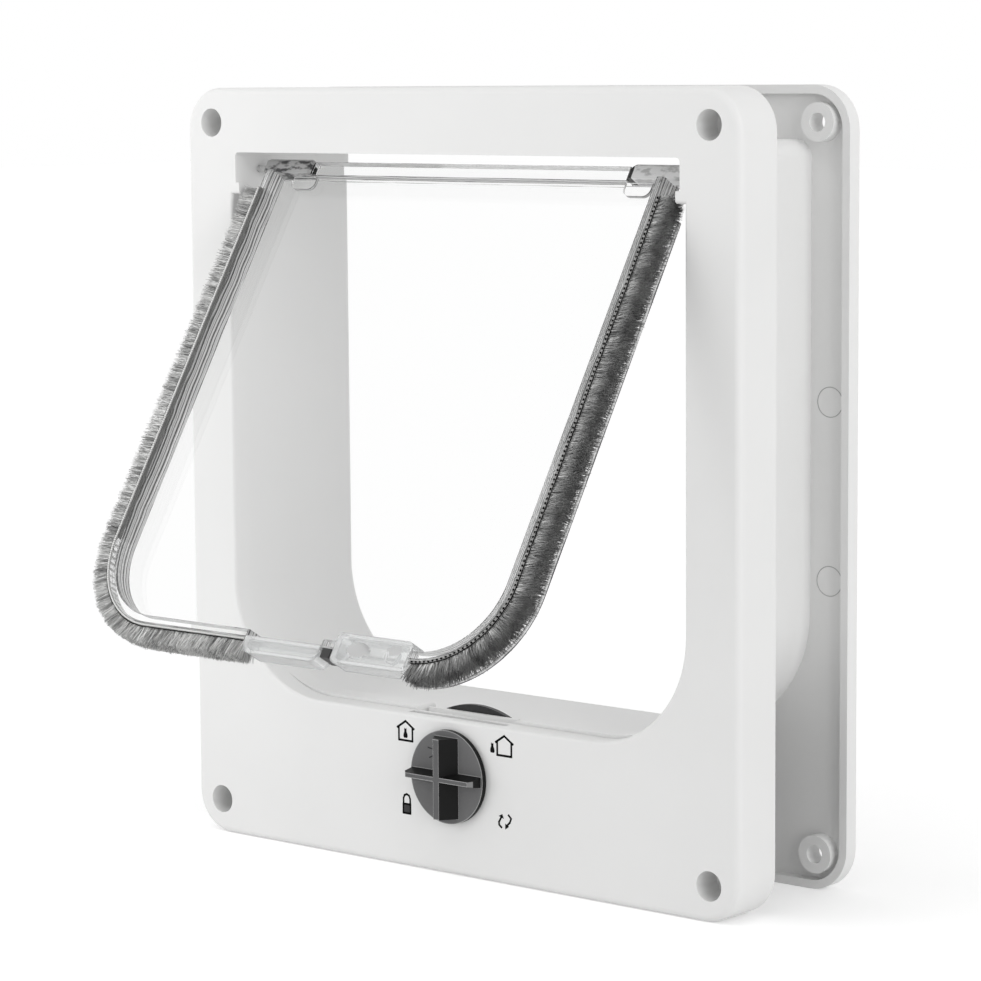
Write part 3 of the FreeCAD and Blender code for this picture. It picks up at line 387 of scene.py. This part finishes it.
slotMats = {
    "shell": shellMat, "clear": clearMat, "sleeve": shadedSleeveMat, "pin": steelMat, "tape": tapeMat,
    "pile": pileMat, "magnet": magnetMat, "knob": knobMat, "cam": camMat, "steel": steelMat,
}
ownMats = {"catch": frostMat, "magnet_box": boxMat, "sleeve_right": litSleeveMat}
for row in frame["record"]["subparts"]:
    node = nodes[row["node"]]
    node.data.materials.clear()
    node.data.materials.append(ownMats.get(row["node"], slotMats[row["material_slot"]]))
print("materials made")

# mesh tools


def meshFrom(bm, name):
    data = bpy.data.meshes.new(name)
    bm.to_mesh(data)
    bm.free()
    return data


def addObject(name, data):
    item = bpy.data.objects.new(name, data)
    bpy.context.scene.collection.objects.link(item)
    return item


def finishPiece(bm, name, mat, body, smooth=True):
    bmesh.ops.recalc_face_normals(bm, faces=bm.faces[:])
    data = meshFrom(bm, name)
    data.materials.append(mat)
    for face in data.polygons:
        face.use_smooth = smooth
    item = addObject(name, data)
    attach(item, body)
    return item


# pile strips: down one side of the pane, round its corner and in along its lower edge

pileStrip = {
    "half": 72.2, "low": 145.0, "round": 24.0, "top": 8.8, "base": 0.7, "leftEnd": -10.5,
    "rightEnd": 47.7, "front": -4.25, "back": 0.2, "step": 0.52, "rows": 8, "spread": 0.40,
    "sizes": (0.9, 1.05), "seed": 11, "patch": 0.9, "mixed": 4,
    # the left strip is painted lighter as lit, the right one darker as in shade, with painted shade
    # towards its tips
    "leftLitTones": (1.22, 1.18), "rightShadedTones": (0.98, 0.22),  # at the root and at the tip
}
tuftShape = {"kinds": 24, "fibres": 6, "height": 4.95, "heights": (0.93, 1.02), "thick": 0.155,
             "tip": 0.35, "lean": 0.13, "foot": 0.3, "darkest": 0.10, "kindTone": 0.55,
             "ownTone": 0.65}


def stripPoint(side, run, raised):  # place and outward direction, a run's length from the top
    cornerX = pileStrip["half"] - pileStrip["round"]
    cornerZ = pileStrip["low"] - pileStrip["round"]
    radius = pileStrip["round"] + pileStrip["base"]
    straight = cornerZ - pileStrip["top"]
    bend = radius * math.pi / 2
    if run < straight:
        place = Vector((pileStrip["half"] + raised, 0.0, -(pileStrip["top"] + run)))
        outward = Vector((1.0, 0.0, 0.0))
    elif run < straight + bend:
        angle = (run - straight) / radius
        outward = Vector((math.cos(angle), 0.0, -math.sin(angle)))
        place = Vector((cornerX, 0.0, -cornerZ)) + outward * (pileStrip["round"] + raised)
    else:
        outward = Vector((0.0, 0.0, -1.0))
        place = Vector((cornerX - (run - straight - bend), 0.0, -(pileStrip["low"] + raised)))
    place.x *= side
    outward.x *= side
    return place, outward


def stripLength(side, endX):
    cornerX = pileStrip["half"] - pileStrip["round"]
    straight = pileStrip["low"] - pileStrip["round"] - pileStrip["top"]
    bend = (pileStrip["round"] + pileStrip["base"]) * math.pi / 2
    return straight + bend + cornerX - endX * side


def makeTuft(rng, shade, rootTone, tipTone):
    bm = bmesh.new()
    tone = bm.verts.layers.float.new("tone")
    for fibre in range(tuftShape["fibres"]):
        height = tuftShape["height"] * rng.uniform(*tuftShape["heights"]) * mm
        made = bmesh.ops.create_cone(bm, cap_ends=False, segments=3, depth=height,
                                     radius1=tuftShape["thick"] * mm,
                                     radius2=tuftShape["thick"] * tuftShape["tip"] * mm)
        lean = Vector((rng.gauss(0.0, tuftShape["lean"]), rng.gauss(0.0, tuftShape["lean"]), 1.0))
        footX, footY = (rng.uniform(-tuftShape["foot"], tuftShape["foot"]) for axis in "xy")
        foot = Vector((footX, footY, 0.0)) * mm
        own = (tuftShape["darkest"] + shade * tuftShape["kindTone"]
               + tuftShape["ownTone"] * rng.random() ** 2)
        for vert in made["verts"]:
            lift = vert.co.z + height / 2
            # the tone runs from root to tip, which gives the right strip its painted shade at the tips
            vert[tone] = own * (rootTone + (tipTone - rootTone) * lift / height)
            vert.co = foot + Vector((vert.co.x, vert.co.y, 0.0)) + lean * lift
    return meshFrom(bm, "tuft")


def makePile(name, side, endX, tones):
    rng = random.Random(pileStrip["seed"] + side)
    count = tuftShape["kinds"]
    kinds = [makeTuft(rng, kind / count, *tones) for kind in range(count)]
    bm = bmesh.new()
    bm.verts.layers.float.new("tone")
    length = stripLength(side, endX)
    across = pileStrip["back"] - pileStrip["front"]
    patches = [rng.randrange(count) for patch in range(int(length / pileStrip["patch"]) + 2)]
    for step in range(int(length / pileStrip["step"])):
        for row in range(pileStrip["rows"]):
            run = (step + 0.5 * (row % 2) + rng.uniform(0.2, 0.8)) * pileStrip["step"]
            run = min(run, length - 0.1)
            place, outward = stripPoint(side, run, pileStrip["base"])
            share = (row + rng.uniform(0.3, 0.7)) / pileStrip["rows"]
            place.y = pileStrip["front"] + across * share
            outward.y = (share - 0.5) * pileStrip["spread"]
            turn = outward.normalized().to_track_quat("Z", "Y").to_matrix().to_4x4()
            spin = Matrix.Rotation(rng.uniform(0.0, math.tau), 4, "Z")
            size = Matrix.Scale(rng.uniform(*pileStrip["sizes"]), 4)
            shade = patches[int(run / pileStrip["patch"])]
            shade += rng.randrange(-pileStrip["mixed"], pileStrip["mixed"] + 1)
            tuft = kinds[min(count - 1, max(0, shade))].copy()
            tuft.transform(flapTurn @ Matrix.Translation(place * mm) @ turn @ spin @ size)
            bm.from_mesh(tuft)
            bpy.data.meshes.remove(tuft)
    for kind in kinds:
        bpy.data.meshes.remove(kind)
    item = finishPiece(bm, name, pileMat, "flap")
    print(name, "triangles", sum(len(face.vertices) - 2 for face in item.data.polygons))
    return item


leftPile = makePile("pileFibresLeft", -1, pileStrip["leftEnd"], pileStrip["leftLitTones"])
rightPile = makePile("pileFibresRight", 1, pileStrip["rightEnd"], pileStrip["rightShadedTones"])
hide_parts("pile_left")
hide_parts("pile_right")
print("pile made")

# stitched front edge of each tape

stitchRow = {"left": 0.62, "right": 1.35, "size": (0.34, 0.40, 0.26), "depth": -4.78,
             "raised": 0.42, "turn": 25.0}


def makeStitches(name, side, endX, pitch, mat):
    bm = bmesh.new()
    bead = bmesh.new()
    bmesh.ops.create_icosphere(bead, subdivisions=1, radius=1.0)
    beadMesh = meshFrom(bead, "bead")
    sizes = Matrix.Diagonal((*(part * mm for part in stitchRow["size"]), 1.0))
    tilt = Matrix.Rotation(math.radians(stitchRow["turn"]), 4, "Z")
    for index in range(int(stripLength(side, endX) / pitch)):
        place, outward = stripPoint(side, (index + 0.5) * pitch, stitchRow["raised"])
        place.y = stitchRow["depth"]
        turn = outward.to_track_quat("Z", "Y").to_matrix().to_4x4()
        one = beadMesh.copy()
        one.transform(flapTurn @ Matrix.Translation(place * mm) @ turn @ tilt @ sizes)
        bm.from_mesh(one)
        bpy.data.meshes.remove(one)
    bpy.data.meshes.remove(beadMesh)
    finishPiece(bm, name, mat, "flap")


makeStitches("tapeStitchesLeft", -1, pileStrip["leftEnd"], stitchRow["left"], edgeMat)
makeStitches("tapeStitchesRight", 1, pileStrip["rightEnd"], stitchRow["right"], inkMat)

# dark line between tape and pile

rootLine = {"radius": 0.13, "raised": 0.86, "depth": -4.62, "wave": 0.10, "step": 0.7, "seed": 5}


def makeRootLine(name, side, endX):
    rng = random.Random(rootLine["seed"] + side)
    length = stripLength(side, endX)
    curve = bpy.data.curves.new(name, "CURVE")
    curve.dimensions = "3D"
    curve.bevel_depth = rootLine["radius"] * mm
    curve.bevel_resolution = 1
    line = curve.splines.new("POLY")
    line.points.add(int(length / rootLine["step"]))
    for index, point in enumerate(line.points):
        run = min(index * rootLine["step"], length - 0.05)
        raised = rootLine["raised"] + rng.uniform(-1.0, 1.0) * rootLine["wave"]
        place = stripPoint(side, run, raised)[0]
        place.y = rootLine["depth"] + rng.uniform(-0.5, 0.5) * rootLine["wave"]
        point.co = (*(flapTurn @ (place * mm)), 1.0)
    source = addObject(name + "Curve", curve)
    made = bpy.data.meshes.new_from_object(source)
    bpy.data.objects.remove(source)
    bm = bmesh.new()
    bm.from_mesh(made)
    bpy.data.meshes.remove(made)
    finishPiece(bm, name, inkMat, "flap")


makeRootLine("pileRootLeft", -1, pileStrip["leftEnd"])
makeRootLine("pileRootRight", 1, pileStrip["rightEnd"])
print("tape edges made")

# printed signs on the front face, outlines in x and z from each sign's centre

signPrint = {"face": -16.0, "thick": 0.05, "line": 0.64, "thin": 0.6, "overlap": 0.7,
             "inside": (-16.7, -71.8), "outside": (19.73, -71.8), "shut": (-16.5, -93.2),
             "both": (19.8, -92.1), "catIn": (-0.1, 0.35), "catOut": (-4.35, 0.0)}
roof = [(-3.1, 1.75), (0.0, 3.75), (3.1, 1.75)]
walls = [(-2.55, 1.9), (-2.55, -1.8), (2.55, -1.8), (2.55, 1.9)]
sittingCat = [(-0.36, 1.5), (-0.12, 1.2), (0.12, 1.2), (0.36, 1.5), (0.45, 0.9), (0.40, 0.5),
              (0.74, -0.2), (0.86, -0.9), (0.66, -1.4), (-0.56, -1.4), (-0.76, -0.9),
              (-0.64, -0.2), (-0.36, 0.5), (-0.45, 0.9)]
shackle = [(-1.25, 1.5), (-1.25, 2.9), (-0.85, 3.8), (0.0, 4.15), (0.85, 3.8), (1.25, 2.9),
           (1.25, 1.5)]
lockCase = [(-1.35, 1.3), (1.35, 1.3), (1.35, -1.35), (-1.35, -1.35), (-1.35, 1.3)]
lockFill = [(-1.3, 1.0), (1.3, 1.0), (1.3, -1.3), (-1.3, -1.3)]
upArrow = [(-1.3, 1.1), (-2.15, -0.3), (-2.1, -1.1), (-1.25, -1.75)]
upHead = [(-2.25, 1.35), (-0.95, 2.05), (-0.35, 0.75)]
downArrow = [(1.3, 2.0), (2.25, 1.1), (1.8, 0.0), (0.95, -0.85)]
downHead = [(0.1, -0.5), (1.5, -1.25), (0.1, -2.2)]


def strokePath(bm, points, line):
    for (startX, startZ), (stopX, stopZ) in zip(points, points[1:]):
        run = Vector((stopX - startX, 0.0, stopZ - startZ))
        middle = Vector(((startX + stopX) / 2, 0.0, (startZ + stopZ) / 2))
        turn = Matrix.Rotation(-math.atan2(run.z, run.x), 4, "Y")
        size = Matrix.Diagonal((run.length + line * signPrint["overlap"], signPrint["thick"],
                                line, 1.0))
        bmesh.ops.create_cube(bm, size=mm, matrix=Matrix.Translation(middle * mm) @ turn @ size)


def filledShape(bm, points, shift=(0.0, 0.0)):
    verts = [bm.verts.new(((x + shift[0]) * mm, 0.0, (z + shift[1]) * mm)) for x, z in points]
    raised = bmesh.ops.extrude_face_region(bm, geom=[bm.faces.new(verts)])
    moved = [part for part in raised["geom"] if isinstance(part, bmesh.types.BMVert)]
    bmesh.ops.translate(bm, vec=(0.0, -signPrint["thick"] * mm / 2, 0.0), verts=moved)


def placeSign(bm, name, centre, mat=inkMat):
    bmesh.ops.translate(bm, verts=bm.verts[:],
                        vec=(centre[0] * mm, signPrint["face"] * mm, centre[1] * mm))
    finishPiece(bm, name, mat, "frame", smooth=False)


def makeSign(name, place, lines, line, fills=(), shift=(0.0, 0.0), mat=inkMat):
    bm = bmesh.new()
    for points in lines:
        strokePath(bm, points, line)
    for points in fills:
        filledShape(bm, points, shift)
    placeSign(bm, name, signPrint[place], mat)


makeSign("signInside", "inside", [roof, walls], signPrint["line"], [sittingCat],
         signPrint["catIn"])
makeSign("signOutside", "outside", [roof, walls], signPrint["line"], [sittingCat],
         signPrint["catOut"])
makeSign("signShut", "shut", [shackle, lockCase], signPrint["thin"])
makeSign("signShutFill", "shut", [], signPrint["thin"], [lockFill], mat=camMat)
makeSign("signBothWays", "both", [upArrow, downArrow], signPrint["thin"], [upHead, downHead])
print("signs made")

# small moulded marks: ejector rings on the outdoor frame, an arrow on the knob's disc

mouldMark = {"flange": 36.2, "across": 92.0, "up": 24.5, "radius": 4.1, "line": 0.13,
             "sides": 6, "steps": 40}
knobMark = {"disc": -17.8, "axisZ": -81.8, "line": 0.42,
            "arrow": [(-6.7, 7.7), (-4.3, 7.35), (-4.9, 5.5), (-6.2, 4.9)]}


# each ring is a grey line: painted shade along the edge of a shallow ejector mark
def makeRing(name, x, z):
    bm = bmesh.new()
    bmesh.ops.create_circle(bm, segments=mouldMark["sides"], radius=mouldMark["line"] * mm,
                            matrix=Matrix.Translation((mouldMark["radius"] * mm, 0.0, 0.0)))
    bmesh.ops.spin(bm, geom=bm.edges[:], cent=(0.0, 0.0, 0.0), axis=(0.0, 1.0, 0.0),
                   dvec=(0.0, 0.0, 0.0), angle=math.tau, steps=mouldMark["steps"], use_merge=True)
    bmesh.ops.translate(bm, verts=bm.verts[:], vec=(x * mm, mouldMark["flange"] * mm, z * mm))
    finishPiece(bm, name, shadeMat, "frame")


def makeKnobArrow():
    bm = bmesh.new()
    strokePath(bm, knobMark["arrow"], knobMark["line"])
    bmesh.ops.translate(bm, verts=bm.verts[:],
                        vec=(0.0, knobMark["disc"] * mm, knobMark["axisZ"] * mm))
    finishPiece(bm, "knobArrow", camMat, "lock", smooth=False)


for side, sideName in ((-1, "Left"), (1, "Right")):
    makeRing("ejectorUpper" + sideName, side * mouldMark["across"], mouldMark["up"])
    makeRing("ejectorLower" + sideName, side * mouldMark["across"], -mouldMark["up"])
makeKnobArrow()
print("moulded marks made")

# studio, in metres and watts

studio = {
    "world": 0.48, "floorZ": -0.110, "floorHalf": 6.0, "floorTone": 0.9, "floorRough": 0.9,
    "glow": [(0.16, 0.30), (0.30, 0.34), (0.50, 0.38), (0.87, 0.46), (1.40, 0.51), (2.50, 0.54)],
    "lamps": {  # place, power and size
        "keyLamp": ((-0.40, -0.36, 0.05), 1.78, 0.6),
        "fillLamp": ((1.22, -0.30, 0.30), 6.2, 0.8),
        "topLamp": ((0.0, -0.25, 1.1), 3.8, 1.2),
    },
}
photoView = {"place": (0.6254, -0.7345, 0.1131), "yaw": 40.33, "pitch": 6.847, "roll": -0.414,
             "lens": 126.94, "sensor": 36.0, "near": 0.05}


def makeFloor():
    bm = bmesh.new()
    bmesh.ops.create_grid(bm, x_segments=1, y_segments=1, size=studio["floorHalf"],
                          matrix=Matrix.Translation((0.0, 0.0, studio["floorZ"])))
    floor = addObject("floor", meshFrom(bm, "floor"))
    mat, tree, shader = newMaterial("paleFloor")
    rays = addNode(tree, "LightPath").outputs
    # the glow fills up what the lamps leave, so the floor is white apart from the shadow
    reach = studio["glow"][-1][0]
    away = mathNode(tree, "DIVIDE", vectorNode(tree, "LENGTH", objectCoords(tree)), reach)
    glow = addRamp(tree, away, [(place / reach, tinted(white, level))
                                for place, level in studio["glow"]])
    glow = mathNode(tree, "MULTIPLY", rays["Is Camera Ray"], glow)
    setInputs(tree, shader, {"Base Color": tinted(white, studio["floorTone"]),
                             "Roughness": studio["floorRough"],
                             "Emission Color": white, "Emission Strength": glow})
    bright = addNode(tree, "Emission", {"Color": white})  # what clear and shiny pieces see
    mirrored = mathNode(tree, "MAXIMUM", rays["Is Glossy Ray"], rays["Is Transmission Ray"])
    surface = mixShader(tree, mirrored, shader.outputs[0], bright.outputs[0])
    tree.links.new(surface, tree.nodes["Material Output"].inputs["Surface"])
    floor.data.materials.append(mat)


def makeWorld():
    world = bpy.data.worlds.new("studio")
    bpy.context.scene.world = world
    world.use_nodes = True
    tree = world.node_tree
    rays = addNode(tree, "LightPath").outputs
    seen = mathNode(tree, "MAXIMUM", rays["Is Camera Ray"], rays["Is Transmission Ray"])
    seen = mathNode(tree, "MAXIMUM", seen, rays["Is Glossy Ray"])
    strength = addRange(tree, seen, studio["world"], 1.0)
    setInputs(tree, tree.nodes["Background"], {"Color": white, "Strength": strength})


def makeLamp(name, place, power, size):
    lamp = bpy.data.lights.new(name, "AREA")
    lamp.energy = power
    lamp.size = size
    item = addObject(name, lamp)
    item.location = place
    item.rotation_euler = (-Vector(place)).to_track_quat("-Z", "Y").to_euler()
    item.visible_glossy = False
    item.visible_transmission = False


def makeCamera():
    data = bpy.data.cameras.new("photoView")
    data.lens = photoView["lens"]
    data.sensor_width = photoView["sensor"]
    data.clip_start = photoView["near"]
    data.dof.use_dof = False
    item = addObject("photoView", data)
    yaw, pitch, roll = (math.radians(photoView[part]) for part in ("yaw", "pitch", "roll"))
    ahead = Vector((-math.sin(yaw), math.cos(yaw), 0.0))
    right = Vector((math.cos(yaw), math.sin(yaw), 0.0))
    up = Vector((0.0, 0.0, 1.0))
    view = ahead * math.cos(pitch) - up * math.sin(pitch)
    tall = up * math.cos(pitch) + ahead * math.sin(pitch)
    side = right * math.cos(roll) + tall * math.sin(roll)
    tall = tall * math.cos(roll) - right * math.sin(roll)
    turn = Matrix((side, tall, -view)).transposed().to_4x4()
    item.matrix_world = Matrix.Translation(photoView["place"]) @ turn
    bpy.context.scene.camera = item


makeFloor()
makeWorld()
for name, values in studio["lamps"].items():
    makeLamp(name, *values)
makeCamera()
bpy.context.scene.view_settings.view_transform = "Standard"
print("studio made")
